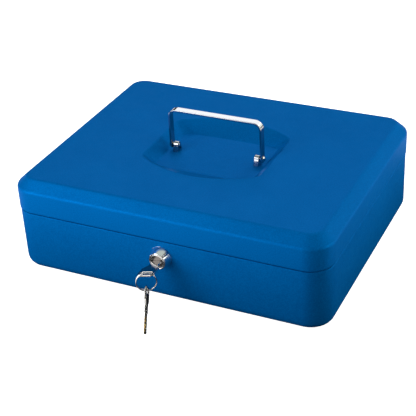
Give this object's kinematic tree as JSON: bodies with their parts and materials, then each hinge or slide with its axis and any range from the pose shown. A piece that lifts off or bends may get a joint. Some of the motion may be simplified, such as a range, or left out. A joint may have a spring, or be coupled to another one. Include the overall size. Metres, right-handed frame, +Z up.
{
  "type": "cash box",
  "caption": "Lockable steel cash box with hinged lid, bail handle folding into a lid recess, front cam lock with key in place, spare key on a split ring, and lift-out coin tray.",
  "frame": {"origin": "centre of the flat underside of the base", "axes": "+Z up, -Y towards the lock side (front), +X to the right seen from the front"},
  "size_m": [0.3, 0.3, 0.1225],
  "materials": {
    "blue_paint": "satin blue powder coat with a fine texture",
    "chrome_plate": "bright chrome plating",
    "zinc_steel": "zinc plated",
    "key_nickel": "polished nickel plate",
    "ring_steel": "bright spring steel",
    "brass_wafer": "stamped",
    "black_plastic": "moulded, fine grain"
  },
  "bodies": {
    "base": {"base_shell": "blue_paint", "tray_rest_left": "blue_paint", "tray_rest_right": "blue_paint", "hinge_base_leaf_left": "blue_paint", "hinge_base_leaf_right": "blue_paint", "hinge_pin_left": "zinc_steel", "hinge_pin_right": "zinc_steel", "lock_housing": "chrome_plate", "lock_washer": "zinc_steel", "lock_nut": "zinc_steel"},
    "lid": {"lid_shell": "blue_paint", "lock_striker": "blue_paint", "hinge_lid_leaf_left": "blue_paint", "hinge_lid_leaf_right": "blue_paint", "handle_bracket_left": "chrome_plate", "handle_bracket_right": "chrome_plate"},
    "handle": {"carry_handle": "chrome_plate", "handle_pin_left": "chrome_plate", "handle_pin_right": "chrome_plate"},
    "lock_core": {"lock_plug": "chrome_plate", "wafer_tumblers": "brass_wafer", "lock_cam": "zinc_steel", "cam_washer": "zinc_steel", "cam_screw": "zinc_steel"},
    "key": {"key_in_lock": "key_nickel"},
    "ring": {"key_ring": "ring_steel"},
    "spare": {"spare_key": "key_nickel"},
    "tray": {"coin_tray": "black_plastic"}
  },
  "joints": [
    {"name": "lid_open", "type": "hinge", "parent": "base", "child": "lid", "pos_m": [0, 0.1226, 0.05985], "axis": [-1, 0, 0], "range_deg": [0, 105]},
    {"name": "handle_swing", "type": "hinge", "parent": "lid", "child": "handle", "pos_m": [0, 0, 0.0857], "axis": [1, 0, 0], "range_deg": [-90, 90]},
    {"name": "lock_turn", "type": "hinge", "parent": "base", "child": "lock_core", "pos_m": [0, -0.11, 0.043], "axis": [0, -1, 0], "range_deg": [-16, 74]},
    {"name": "key_withdraw", "type": "slide", "parent": "lock_core", "child": "key", "axis": [0, -1, 0], "range_m": [0, 0.02]},
    {"name": "ring_swing", "type": "hinge", "parent": "key", "child": "ring", "pos_m": [0.0002, -0.148, 0.04435], "axis": [0.8572, 0.515, 0], "range_deg": [-15, 15]},
    {"name": "spare_key_swing", "type": "hinge", "parent": "ring", "child": "spare", "pos_m": [0.0002, -0.148, 0.0272], "axis": [-0.9426, -0.3338, 0], "range_deg": [0, 80]},
    {"name": "tray_lift", "type": "slide", "parent": "base", "child": "tray", "axis": [0, 0, 1], "range_m": [0, 0.015]}
  ]
}
